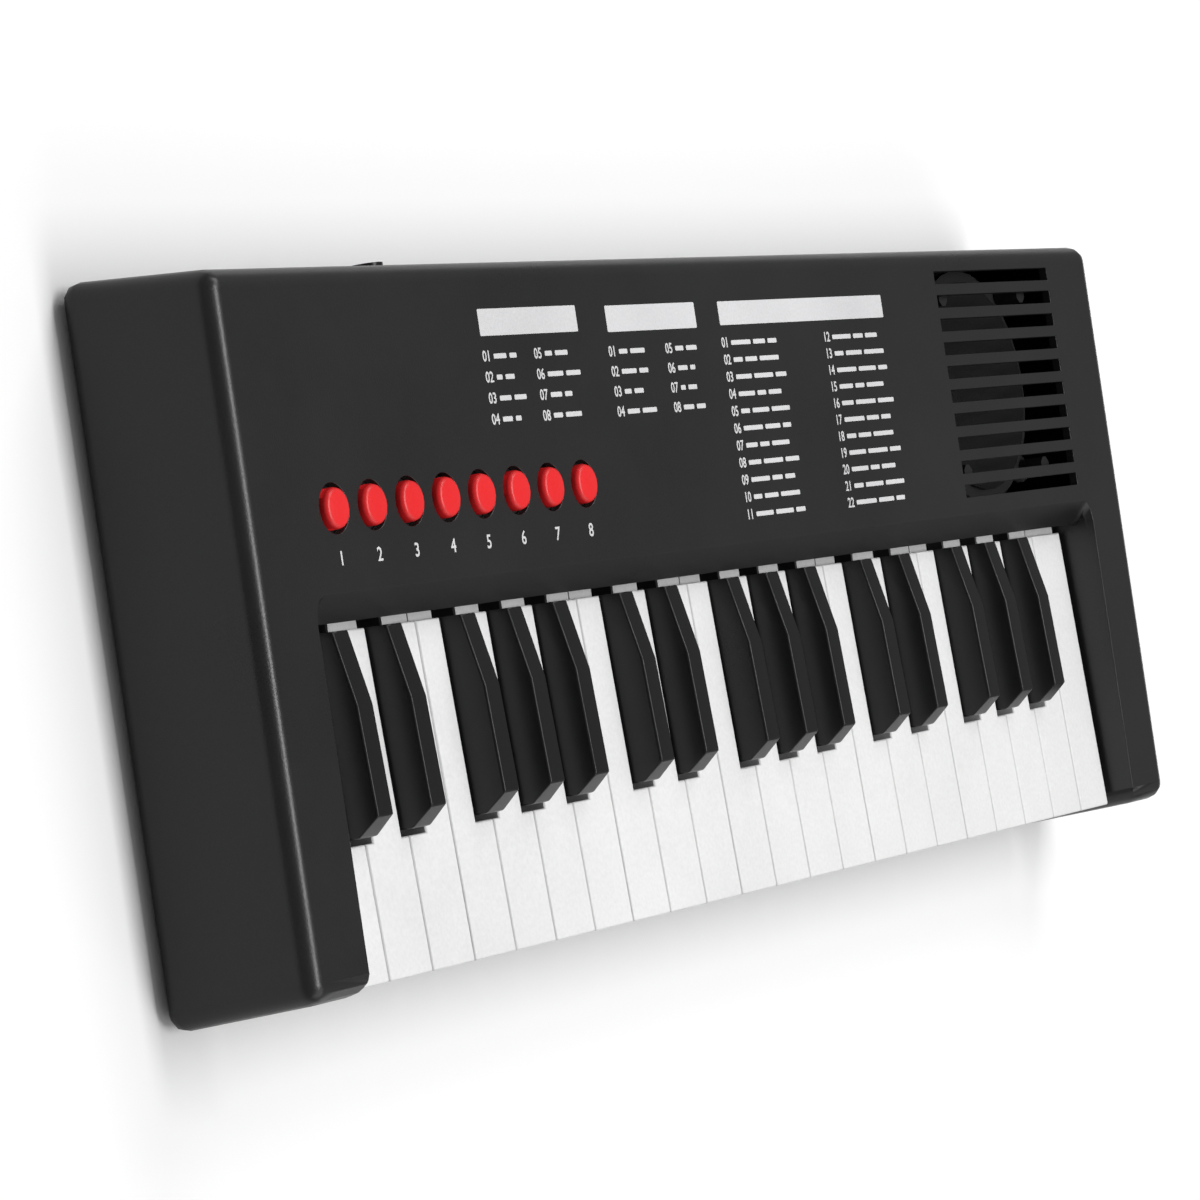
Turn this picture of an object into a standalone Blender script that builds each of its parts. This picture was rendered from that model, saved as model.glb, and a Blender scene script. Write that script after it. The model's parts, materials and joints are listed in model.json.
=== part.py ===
"""A portable keyboard: twenty-two white and fifteen black keys, eight push buttons and a speaker.

Everything is in metres with +Z up. The origin is on the surface that the feet stand on, under the
middle of the casing. The player sits on the -Y side and the low notes are on the -X side.
"""
import math

import bmesh
import bpy

MM = 0.001

# Casing
CASE_HEIGHT = 37.0 * MM
FOOT_HEIGHT = 1.0 * MM
FOOT_RADIUS = 7.0 * MM
CHEEK = 20.55 * MM
PANEL_DEPTH = 67.45 * MM
WALL = 2.2 * MM
LEAN_Y = 2.8 * MM
LEAN_X = 1.2 * MM
EDGE_RADIUS = 4.0 * MM
BASE_RADIUS = 3.6 * MM
RIM = 4.8 * MM
RIM_HEIGHT = 4.0 * MM
BASE_PLATE = 2.4 * MM
FIT = 0.3 * MM

# Keys
KEY_PITCH = 16.8 * MM
WHITE_COUNT = 22
KEY_GAP = 0.5 * MM
WHITE_LENGTH = 73.1 * MM
WHITE_HEAD = 28.7 * MM
WHITE_SKIRT = 8.2 * MM
WHITE_LIP = 12.5 * MM
WHITE_WALL = 1.6 * MM
FRONT_SINK = 6.8 * MM
BACK_SINK = 9.4 * MM
TAIL_STEP = 2.0 * MM
TAIL_LENGTH = 8.5 * MM
TAIL_DEPTH = 6.6 * MM
NOTCH_HALF = 4.85 * MM
BLACK_TOP_HALF = 3.0 * MM
BLACK_BASE_HALF = 4.1 * MM
BLACK_TAIL_HALF = 4.4 * MM
BLACK_FRONT = 30.1 * MM
BLACK_FRONT_LEAN = 4.2 * MM
BLACK_BEND = 57.3 * MM
BLACK_FRONT_SINK = 0.6 * MM
BLACK_BEND_SINK = 1.7 * MM
BLACK_BACK_SINK = 5.2 * MM
BLACK_FACE = 5.3 * MM
BLACK_FOOT = 6.2 * MM
KEY_TRAVEL_DEG = 2.5
PIVOT_BEHIND = 5.0 * MM
PIVOT_DEPTH = 5.1 * MM
PIVOT_RADIUS = 1.5 * MM

# Key well and the sloped lip behind the keys
OPENING_MARGIN = 1.25 * MM
KEY_BANK_SHIFT = -0.7 * MM
KEY_SETBACK = 0.4 * MM
LIP_CLEAR = 1.7 * MM
LIP_RUN = 5.9 * MM
LIP_DROP = 5.5 * MM
LIP_WALL = 2.0 * MM
WELL_CORNER = 4.0 * MM
CHEEK_CORNER = 4.0 * MM
RAIL_SETBACK = 0.8 * MM
RAIL_DROP = 25.0 * MM

# Buttons
BUTTON_NAMES = ("power", "tone", "rhythm", "demo", "mode", "volume_down", "volume_up", "stop")
BUTTON_RADIUS = 4.4 * MM
BUTTON_HOLE_RADIUS = 5.35 * MM
BUTTON_RISE = 1.5 * MM
BUTTON_TRAVEL = 1.2 * MM
BUTTON_FLANGE_RADIUS = 6.3 * MM
BUTTON_FLANGE = 1.0 * MM
BUTTON_STEM_RADIUS = 2.5 * MM
BUTTON_STEM = 1.8 * MM
BUTTON_INSET = 32.6 * MM
BUTTON_PITCH = 14.4 * MM
BUTTON_ROW = 17.3 * MM

# Grille and speaker
SLOT_COUNT = 10
SLOT_LENGTH = 66.1 * MM
SLOT_WIDTH = 3.2 * MM
SLOT_PITCH = 6.065 * MM
GRILLE_INSET = 26.6 * MM
GRILLE_BACK = 7.05 * MM
SPEAKER_RADIUS = 30.3 * MM
SPEAKER_SINK = 10.4 * MM
SPEAKER_RIM = 2.2 * MM
SPEAKER_DEPTH = 12.0 * MM
CONE_RADIUS = 25.0 * MM
MAGNET_RADIUS = 13.0 * MM
MAGNET_DEPTH = 5.0 * MM
EAR_REACH = 3.5 * MM
POST_RADIUS = 2.4 * MM

# Battery bay, for three round cells lying side by side
BAY_X = -20.0 * MM
BAY_LENGTH = 62.0 * MM
BAY_WIDTH = 43.5 * MM
BAY_HEIGHT = 16.0 * MM
BAY_WALL = 1.6 * MM
BAY_FROM_BACK = 9.5 * MM
DOOR_PLATE = 1.8 * MM
DOOR_TAB = 6.0 * MM
CONTACT_SHEET = 0.4 * MM

# Boards and soft strips
BOARD = 1.6 * MM
KEY_BOARD_FRONT = 42.0 * MM
KEY_BOARD_DEPTH = 24.0 * MM
DOME_BASE = 1.0 * MM
DOME_RISE = 3.2 * MM
DOME_RADIUS = 3.4 * MM
PAD_BASE = 0.8 * MM
PAD_RISE = 1.3 * MM
FRAME_PLATE = 1.8 * MM
FRAME_SINK = 25.2 * MM
FRAME_FRONT = 9.0 * MM
STOP_FRONT = 14.0 * MM
STOP_DEPTH = 6.0 * MM
STOP_RAIL = 3.6 * MM
STOP_FELT = 2.0 * MM
BOSS_RADIUS = 3.4 * MM
SCREW_HOLE_RADIUS = 1.25 * MM
SCREW_WELL_RADIUS = 3.3 * MM
SCREW_WELL_DEPTH = 1.0 * MM
BOSS_INSET = 9.0 * MM

# Rear power jack
JACK_FROM_LEFT = 76.9 * MM
JACK_SINK = 12.0 * MM
JACK_RADIUS = 3.5 * MM
JACK_BORE_RADIUS = 2.8 * MM
JACK_STICKS_OUT = 0.8 * MM
JACK_LENGTH = 12.0 * MM

# Places worked out from the sizes above
TOP_Z = FOOT_HEIGHT + CASE_HEIGHT
BANK_LENGTH = WHITE_COUNT * KEY_PITCH
OPENING_HALF = BANK_LENGTH / 2 + OPENING_MARGIN
TOP_HALF_X = OPENING_HALF + CHEEK
TOP_HALF_Y = (KEY_SETBACK + WHITE_LENGTH + LIP_CLEAR + LIP_RUN + PANEL_DEPTH) / 2
BASE_HALF_X = TOP_HALF_X + LEAN_X
BASE_HALF_Y = TOP_HALF_Y + LEAN_Y
KEY_FRONT_Y = -TOP_HALF_Y + KEY_SETBACK
KEY_BACK_Y = KEY_FRONT_Y + WHITE_LENGTH
LIP_Y = KEY_BACK_Y + LIP_CLEAR
PANEL_Y = LIP_Y + LIP_RUN
BANK_LEFT = -BANK_LENGTH / 2 + KEY_BANK_SHIFT
KEY_SLOPE = (BACK_SINK - FRONT_SINK) / WHITE_LENGTH
PIVOT_Y = KEY_BACK_Y + PIVOT_BEHIND
TAIL_TOP = TOP_Z - BACK_SINK - TAIL_STEP
PIVOT_Z = TAIL_TOP - PIVOT_DEPTH
FRAME_TOP = TOP_Z - FRAME_SINK
BLACK_CENTRES = ((0, 0.885), (1, 2.11), (3, 3.86), (4, 5.0), (5, 6.145))
NATURALS = "cdefgab"
SPEAKER_X = TOP_HALF_X - GRILLE_INSET - SLOT_LENGTH / 2
SPEAKER_Y = TOP_HALF_Y - GRILLE_BACK - (SLOT_COUNT - 1) * SLOT_PITCH / 2
BUTTON_Y = PANEL_Y + BUTTON_ROW
BAY_BACK = BASE_HALF_Y - BAY_FROM_BACK
BAY_FRONT = BAY_BACK - BAY_WIDTH
PLATE_TOP = FOOT_HEIGHT + BASE_PLATE


def material(name, colour, roughness, metallic=0.0):
    """A Principled material with one colour."""
    made = bpy.data.materials.new(name)
    made.use_nodes = True
    shader = made.node_tree.nodes["Principled BSDF"]
    shader.inputs["Base Color"].default_value = (*colour, 1.0)
    shader.inputs["Roughness"].default_value = roughness
    shader.inputs["Metallic"].default_value = metallic
    made.diffuse_color = (*colour, 1.0)
    return made


def add_object(name, bm, finish, parent=None, hidden=False):
    """Turn a bmesh into a named object, with outward normals and one material."""
    bmesh.ops.recalc_face_normals(bm, faces=bm.faces)
    mesh = bpy.data.meshes.new(name)
    bm.to_mesh(mesh)
    bm.free()
    made = bpy.data.objects.new(name, mesh)
    bpy.context.collection.objects.link(made)
    if finish:
        mesh.materials.append(finish)
    if parent:
        made.parent = parent
        made.matrix_parent_inverse = parent.matrix_world.inverted()
    if hidden:
        made.hide_render = True
        made.display_type = "WIRE"
    return made


def smooth(made, degrees=35.0):
    """Shade a round piece smooth, keeping its corners sharp."""
    made.data.shade_smooth()
    made.data.set_sharp_from_angle(angle=math.radians(degrees))


def box(bm, x, y, z):
    """Add a box between the low and high values of x, y and z."""
    corners = [bm.verts.new((x[i], y[j], z[k])) for i in (0, 1) for j in (0, 1) for k in (0, 1)]
    for face in ((0, 1, 3, 2), (4, 6, 7, 5), (0, 4, 5, 1), (2, 3, 7, 6), (0, 2, 6, 4), (1, 5, 7, 3)):
        bm.faces.new([corners[i] for i in face])
    return corners


def prism(bm, outline, x):
    """Extrude an outline of (y, z) points along X."""
    left = [bm.verts.new((x[0], y, z)) for y, z in outline]
    right = [bm.verts.new((x[1], y, z)) for y, z in outline]
    bm.faces.new(left)
    bm.faces.new(right[::-1])
    count = len(outline)
    for i in range(count):
        j = (i + 1) % count
        bm.faces.new((left[i], right[i], right[j], left[j]))
    return left, right


def turned(bm, profile, centre, sides=20, axis="Z"):
    """Turn a closed (radius, height) profile round an axis; radius 0 closes it on the axis."""
    rings = []
    for radius, height in profile:
        if radius == 0:
            ring = [place(centre, 0, 0, height, axis, bm)]
        else:
            ring = []
            for i in range(sides):
                a = 2 * math.pi * (i + 0.5) / sides
                ring.append(place(centre, radius * math.cos(a), radius * math.sin(a), height, axis, bm))
        rings.append(ring)
    pairs = list(zip(rings, rings[1:]))
    if len(rings[0]) > 1:
        pairs.append((rings[-1], rings[0]))
    for low, high in pairs:
        if len(low) == 1 and len(high) == 1:
            continue
        for i in range(sides):
            j = (i + 1) % sides
            if len(low) == 1:
                bm.faces.new((low[0], high[i], high[j]))
            elif len(high) == 1:
                bm.faces.new((low[i], low[j], high[0]))
            else:
                bm.faces.new((low[i], low[j], high[j], high[i]))


def place(centre, u, v, height, axis, bm):
    """One vertex of a turned shape whose axis runs along Z or Y."""
    if axis == "Z":
        return bm.verts.new((centre[0] + u, centre[1] + v, centre[2] + height))
    return bm.verts.new((centre[0] + u, centre[1] + height, centre[2] + v))


def rod(bm, centre, radius, low, high, sides=16, axis="Z"):
    """A plain cylinder between two heights on its axis."""
    turned(bm, ((0, low), (radius, low), (radius, high), (0, high)), centre, sides, axis)


def combine(target, shapes, operation):
    """Cut or join a list of filled bmeshes with an object, one by one, and apply each."""
    for bm in shapes:
        tool = add_object("tool", bm, None, hidden=True)
        modifier = target.modifiers.new("combine", "BOOLEAN")
        modifier.operation = operation
        modifier.solver = "EXACT"
        modifier.object = tool
        graph = bpy.context.evaluated_depsgraph_get()
        result = bpy.data.meshes.new_from_object(target.evaluated_get(graph), depsgraph=graph)
        target.modifiers.remove(modifier)
        old = target.data
        target.data = result
        result.name = target.name
        bpy.data.meshes.remove(old)
        cutter_mesh = tool.data
        bpy.data.objects.remove(tool)
        bpy.data.meshes.remove(cutter_mesh)


def shape(maker, *values, **named):
    """A new bmesh that holds one shape."""
    bm = bmesh.new()
    maker(bm, *values, **named)
    return bm


def rounded_ring(bm, half_x, half_y, radius, z, steps=3):
    """A ring of vertices round a rectangle with rounded corners."""
    ring = []
    for quarter, (sx, sy) in enumerate(((1, 1), (-1, 1), (-1, -1), (1, -1))):
        for i in range(steps + 1):
            a = math.pi / 2 * (quarter + i / steps)
            x = sx * (half_x - radius) + radius * math.cos(a)
            y = sy * (half_y - radius) + radius * math.sin(a)
            ring.append(bm.verts.new((x, y, z)))
    return ring


def lofted(bm, levels):
    """A closed solid through rings given as (half x, half y, corner radius, z), lowest first."""
    rings = [rounded_ring(bm, *level) for level in levels]
    bm.faces.new(rings[0][::-1])
    bm.faces.new(rings[-1])
    for low, high in zip(rings, rings[1:]):
        for i in range(len(low)):
            j = (i + 1) % len(low)
            bm.faces.new((low[i], low[j], high[j], high[i]))


def casing_levels():
    """The outer skin: rounded at its foot, leaning walls, rounded at its top."""
    levels = []
    steps = 3
    for i in range(steps + 1):
        a = math.pi / 2 * i / steps
        levels.append((BASE_RADIUS * (1 - math.sin(a)), BASE_RADIUS * (1 - math.cos(a))))
    for i in range(steps + 1):
        a = math.pi / 2 * i / steps
        height = CASE_HEIGHT - EDGE_RADIUS + EDGE_RADIUS * math.sin(a)
        levels.append((EDGE_RADIUS * (1 - math.cos(a)), height))
    rings = []
    for inset, height in levels:
        share = height / CASE_HEIGHT
        half_x = BASE_HALF_X - LEAN_X * share - inset
        half_y = BASE_HALF_Y - LEAN_Y * share - inset
        rings.append((half_x, half_y, max(EDGE_RADIUS - inset, 0.6 * MM), FOOT_HEIGHT + height))
    return rings


def hollow_levels():
    """The space inside the walls, above the rim."""
    rings = []
    for height in (RIM_HEIGHT, CASE_HEIGHT - WALL):
        share = height / CASE_HEIGHT
        half_x = BASE_HALF_X - LEAN_X * share - WALL
        half_y = BASE_HALF_Y - LEAN_Y * share - WALL
        rings.append((half_x, half_y, EDGE_RADIUS - WALL / 2, FOOT_HEIGHT + height))
    return rings


def base_opening():
    """The rectangle that the rim leaves for the base plate: x and y limits."""
    front = KEY_FRONT_Y + RAIL_SETBACK + WALL
    return (-(BASE_HALF_X - RIM), BASE_HALF_X - RIM), (front, BASE_HALF_Y - RIM)


def well_cutter(bm):
    """The key well, open to the front, with its back wall sloped down to the lip's edge."""
    back_low = TOP_Z - RAIL_DROP
    above = 2 * MM
    ahead = -BASE_HALF_Y - 5 * MM
    outline = ((ahead, back_low), (LIP_Y, back_low), (LIP_Y, TOP_Z - LIP_DROP), (PANEL_Y, TOP_Z),
               (PANEL_Y, TOP_Z + above), (ahead, TOP_Z + above))
    prism(bm, outline, (-OPENING_HALF, OPENING_HALF))
    bm.normal_update()
    corners = [e for e in bm.edges if all(v.co.y > LIP_Y - MM for v in e.verts)
               and abs(abs(e.verts[0].co.x) - OPENING_HALF) < 1e-6
               and abs(e.verts[0].co.x - e.verts[1].co.x) < 1e-6]
    bmesh.ops.bevel(bm, geom=corners, offset=WELL_CORNER, segments=3, affect="EDGES", profile=0.5)


def front_face(z):
    """The y of the leaning front wall's outer face at a height."""
    return -(BASE_HALF_Y - LEAN_Y * (z - FOOT_HEIGHT) / CASE_HEIGHT)


def cheek_corner(bm, side):
    """A cutter that rounds a cheek's front corner beside the keys, seen from above."""
    rings = []
    for z in (FOOT_HEIGHT - 2 * MM, TOP_Z + MM):
        face = front_face(z)
        points = [(OPENING_HALF - MM, face + CHEEK_CORNER), (OPENING_HALF - MM, face - MM),
                  (OPENING_HALF + CHEEK_CORNER, face - MM)]
        for i in range(5):
            a = math.pi / 2 * (1 + i / 4)
            points.append((OPENING_HALF + CHEEK_CORNER * (1 - math.sin(a - math.pi / 2)),
                           face + CHEEK_CORNER * (1 - math.cos(a - math.pi / 2))))
        rings.append([bm.verts.new((side * x, y, z)) for x, y in points])
    bm.faces.new(rings[0])
    bm.faces.new(rings[1][::-1])
    for i in range(len(rings[0])):
        j = (i + 1) % len(rings[0])
        bm.faces.new((rings[0][i], rings[1][i], rings[1][j], rings[0][j]))


def screw_places():
    """Where the six case screws stand."""
    x = BASE_HALF_X - RIM - BOSS_INSET
    front = -BASE_HALF_Y + RIM + BOSS_INSET
    back = BASE_HALF_Y - RIM - BOSS_INSET
    middle = (BAY_X - BAY_LENGTH / 2 - BOSS_INSET, BAY_X + BAY_LENGTH / 2 + BOSS_INSET)
    return ((-x, front), (x, front), (-x, back), (x, back), (middle[0], back), (middle[1], back))


def speaker_ears():
    """Where the four speaker ears stand."""
    reach = (SPEAKER_RADIUS + EAR_REACH / 2) * math.sqrt(0.5)
    return [(SPEAKER_X + sx * reach, SPEAKER_Y + sy * reach) for sx in (-1, 1) for sy in (-1, 1)]


def control_board_box():
    """The control board's x, y and z limits, under the row of buttons."""
    first = -TOP_HALF_X + BUTTON_INSET
    last = first + (len(BUTTON_NAMES) - 1) * BUTTON_PITCH
    top = pad_bottom() - FIT
    return (first - 11 * MM, last + 16 * MM), (BUTTON_Y - 9 * MM, BUTTON_Y + 13 * MM), (top - BOARD, top)


def pad_bottom():
    """The underside of the silicone pad below the buttons."""
    stem = TOP_Z - WALL - FIT - BUTTON_FLANGE - BUTTON_STEM
    return stem - BUTTON_TRAVEL - FIT - PAD_RISE - PAD_BASE


def make_upper_case(finish):
    """The black shell: panel, cheeks, key well, sloped lip, front rail, bosses and posts."""
    shell = add_object("upper_case", shape(lofted, casing_levels()), finish)
    open_x, open_y = base_opening()
    below = (FOOT_HEIGHT - 2 * MM, FOOT_HEIGHT + RIM_HEIGHT + 0.5 * MM)
    combine(shell, [shape(lofted, hollow_levels()), shape(box, open_x, open_y, below)], "DIFFERENCE")

    skin_top = TOP_Z - 0.5 * MM
    inner_front = KEY_FRONT_Y + RAIL_SETBACK
    parts = []
    wall_low = PLATE_TOP + MM
    shoulder = TOP_Z - EDGE_RADIUS
    cheek_wall = ((front_face(wall_low) + MM, wall_low), (PANEL_Y + 3 * MM, wall_low),
                  (PANEL_Y + 3 * MM, skin_top), (front_face(skin_top) + 2.6 * MM, skin_top),
                  (front_face(shoulder) + MM, shoulder))
    for side in (-1, 1):
        x = sorted((side * OPENING_HALF, side * (OPENING_HALF + WALL)))
        parts.append(shape(prism, cheek_wall, x))
    slope = math.hypot(LIP_RUN, LIP_DROP)
    shift_y = LIP_WALL * LIP_DROP / slope
    shift_z = LIP_WALL * LIP_RUN / slope
    lip = ((LIP_Y - 0.5 * MM, TOP_Z - LIP_DROP), (LIP_Y + shift_y, TOP_Z - LIP_DROP - shift_z),
           (PANEL_Y + shift_y, TOP_Z - shift_z), (PANEL_Y + 2 * MM, TOP_Z - 0.4 * MM),
           (PANEL_Y - 2 * MM, TOP_Z - 0.4 * MM))
    reach = OPENING_HALF + WALL / 2
    parts.append(shape(prism, lip, (-reach, reach)))
    combine(shell, parts, "UNION")

    ahead = (-BASE_HALF_Y - 5 * MM, inner_front + WALL)
    below_rail = (FOOT_HEIGHT - 2 * MM, TOP_Z - RAIL_DROP + 0.5 * MM)
    front_cut = shape(box, (-OPENING_HALF, OPENING_HALF), ahead, below_rail)
    corners = [shape(cheek_corner, side) for side in (-1, 1)]
    combine(shell, [shape(well_cutter), front_cut] + corners, "DIFFERENCE")
    rail = shape(box, (-reach, reach), (inner_front, inner_front + WALL), (FOOT_HEIGHT, TOP_Z - RAIL_DROP))
    combine(shell, [rail], "UNION")

    posts = []
    for x, y in screw_places():
        posts.append(shape(rod, (x, y, 0), BOSS_RADIUS, PLATE_TOP + FIT, TOP_Z - WALL / 2, 10))
    ear_top = TOP_Z - SPEAKER_SINK + FIT
    for x, y in speaker_ears():
        posts.append(shape(rod, (x, y, 0), POST_RADIUS, ear_top, TOP_Z - WALL / 2, 8))
    board_x, board_y, board_z = control_board_box()
    for x in (board_x[0] + 3 * MM, board_x[1] - 3 * MM):
        posts.append(shape(rod, (x, board_y[1] - 3 * MM, 0), POST_RADIUS, board_z[1] + FIT, TOP_Z - WALL / 2, 8))
    combine(shell, posts, "UNION")

    cuts = []
    for x, y in screw_places():
        hole = (PLATE_TOP - MM, PLATE_TOP + 12 * MM)
        cuts.append(shape(rod, (x, y, 0), SCREW_HOLE_RADIUS, hole[0], hole[1], 8))
    through = (TOP_Z - WALL - 1.5 * MM, TOP_Z + MM)
    for i in range(len(BUTTON_NAMES)):
        x = -TOP_HALF_X + BUTTON_INSET + i * BUTTON_PITCH
        cuts.append(shape(rod, (x, BUTTON_Y, 0), BUTTON_HOLE_RADIUS, through[0], through[1], 24))
    slot_x = (SPEAKER_X - SLOT_LENGTH / 2, SPEAKER_X + SLOT_LENGTH / 2)
    for i in range(SLOT_COUNT):
        y = TOP_HALF_Y - GRILLE_BACK - i * SLOT_PITCH
        cuts.append(shape(box, slot_x, (y - SLOT_WIDTH / 2, y + SLOT_WIDTH / 2), through))
    jack = (jack_x(), 0, TOP_Z - JACK_SINK)
    cuts.append(shape(rod, jack, JACK_RADIUS + FIT, TOP_HALF_Y - 8 * MM, TOP_HALF_Y + 6 * MM, 16, axis="Y"))
    combine(shell, cuts, "DIFFERENCE")
    return shell


def jack_x():
    """The rear jack's place along the case."""
    return -TOP_HALF_X + JACK_FROM_LEFT


def door_box():
    """The battery door's x and y limits."""
    return ((BAY_X - BAY_LENGTH / 2 + FIT, BAY_X + BAY_LENGTH / 2 - FIT),
            (BAY_FRONT + FIT, BAY_BACK - FIT))


def make_lower_case(finish):
    """The base plate with its battery bay, feet and screw wells."""
    open_x, open_y = base_opening()
    plate_x = (open_x[0] + FIT, open_x[1] - FIT)
    plate_y = (open_y[0] + FIT, open_y[1] - FIT)
    base = add_object("lower_case", shape(box, plate_x, plate_y, (FOOT_HEIGHT, PLATE_TOP)), finish)
    bay_x = (BAY_X - BAY_LENGTH / 2, BAY_X + BAY_LENGTH / 2)
    outer_x = (bay_x[0] - BAY_WALL, bay_x[1] + BAY_WALL)
    outer_y = (BAY_FRONT - BAY_WALL, BAY_BACK + BAY_WALL)
    roof = FOOT_HEIGHT + DOOR_PLATE + BAY_HEIGHT
    parts = [shape(box, outer_x, outer_y, (FOOT_HEIGHT + 0.4 * MM, roof + BAY_WALL))]
    for sx in (-1, 1):
        for sy in (-1, 1):
            foot = (sx * (BASE_HALF_X - 26 * MM), sy * (BASE_HALF_Y - 24 * MM), 0)
            parts.append(shape(rod, foot, FOOT_RADIUS, 0.0, FOOT_HEIGHT + 0.4 * MM, 20))
    frame_z = FRAME_TOP - FRAME_PLATE - FIT
    for x in (-0.42, -0.14, 0.14, 0.42):
        for y in (KEY_FRONT_Y + 22 * MM, KEY_BACK_Y + 4 * MM):
            parts.append(shape(rod, (x * BANK_LENGTH, y, 0), POST_RADIUS, PLATE_TOP - MM, frame_z, 8))
    magnet_z = TOP_Z - SPEAKER_SINK - SPEAKER_DEPTH - MAGNET_DEPTH
    parts.append(shape(rod, (SPEAKER_X, SPEAKER_Y, 0), POST_RADIUS * 2, PLATE_TOP - MM, magnet_z - FIT, 12))
    combine(base, parts, "UNION")
    cuts = [shape(box, bay_x, (BAY_FRONT, BAY_BACK), (FOOT_HEIGHT - MM, roof))]
    hook = (FOOT_HEIGHT + DOOR_PLATE + 0.2 * MM, FOOT_HEIGHT + DOOR_PLATE + 3.2 * MM)
    for side in (-1, 1):
        x = BAY_X + side * BAY_LENGTH / 4
        slot_x = (x - DOOR_TAB / 2 - FIT, x + DOOR_TAB / 2 + FIT)
        cuts.append(shape(box, slot_x, (BAY_BACK - MM, BAY_BACK + BAY_WALL + MM), hook))
    for x, y in screw_places():
        cuts.append(shape(rod, (x, y, 0), SCREW_HOLE_RADIUS + FIT, FOOT_HEIGHT - MM, PLATE_TOP + MM, 8))
        cuts.append(shape(rod, (x, y, 0), SCREW_WELL_RADIUS, FOOT_HEIGHT - MM, FOOT_HEIGHT + SCREW_WELL_DEPTH, 14))
    combine(base, cuts, "DIFFERENCE")
    return base


def make_battery_door(finish):
    """The cover of the battery bay, with two hooks at its back edge and a finger rib at its front."""
    hinge = bpy.data.objects.new("battery_door_axis", None)
    hinge.location = (BAY_X, BAY_BACK - FIT, FOOT_HEIGHT)
    bpy.context.collection.objects.link(hinge)
    bpy.context.view_layer.update()
    x, y = door_box()
    door = add_object("battery_door", shape(box, x, y, (FOOT_HEIGHT, FOOT_HEIGHT + DOOR_PLATE)), finish, hinge)
    parts = []
    for side in (-1, 1):
        middle = BAY_X + side * BAY_LENGTH / 4
        low = FOOT_HEIGHT + DOOR_PLATE
        hook = ((BAY_BACK - 3.0 * MM, low - 0.5 * MM), (BAY_BACK - 1.2 * MM, low - 0.5 * MM),
                (BAY_BACK - 1.2 * MM, low + 0.6 * MM), (BAY_BACK + 0.9 * MM, low + 0.6 * MM),
                (BAY_BACK + 0.9 * MM, low + 1.8 * MM), (BAY_BACK - 3.0 * MM, low + 1.8 * MM))
        parts.append(shape(prism, hook, (middle - DOOR_TAB / 2, middle + DOOR_TAB / 2)))
    latch = (BAY_X - 7 * MM, BAY_X + 7 * MM)
    parts.append(shape(box, latch, (y[0], y[0] + 1.5 * MM), (FOOT_HEIGHT + 0.5 * MM, FOOT_HEIGHT + 5 * MM)))
    combine(door, parts, "UNION")
    grip = []
    for i in range(4):
        at = y[0] + (6 + 2.4 * i) * MM
        grip.append(shape(box, latch, (at, at + 1.2 * MM), (FOOT_HEIGHT - MM, FOOT_HEIGHT + 0.6 * MM)))
    combine(door, grip, "DIFFERENCE")
    return door


def white_top(y):
    """The height of the white keys' top, at a distance behind their front."""
    return TOP_Z - FRONT_SINK - KEY_SLOPE * y


def tail_outline(start_y, start_top):
    """The rear end of every key in (y, z), with its half-round seat over the pivot ridge."""
    end = KEY_BACK_Y + TAIL_LENGTH
    low = TAIL_TOP - TAIL_DEPTH
    seat = PIVOT_RADIUS + FIT
    points = [(KEY_BACK_Y, start_top), (KEY_BACK_Y, TAIL_TOP), (end, TAIL_TOP), (end, low)]
    points.append((PIVOT_Y + seat, low))
    for i in range(7):
        a = math.pi * i / 6
        points.append((PIVOT_Y + seat * math.cos(a), PIVOT_Z + seat * math.sin(a)))
    points.append((PIVOT_Y - seat, low))
    points.append((start_y, low))
    return points


def pivot_empty(name, x):
    """An empty on the key pivot's axis."""
    pivot = bpy.data.objects.new(name + "_axis", None)
    pivot.location = (x, PIVOT_Y, PIVOT_Z)
    bpy.context.collection.objects.link(pivot)
    bpy.context.view_layer.update()
    return pivot


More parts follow.
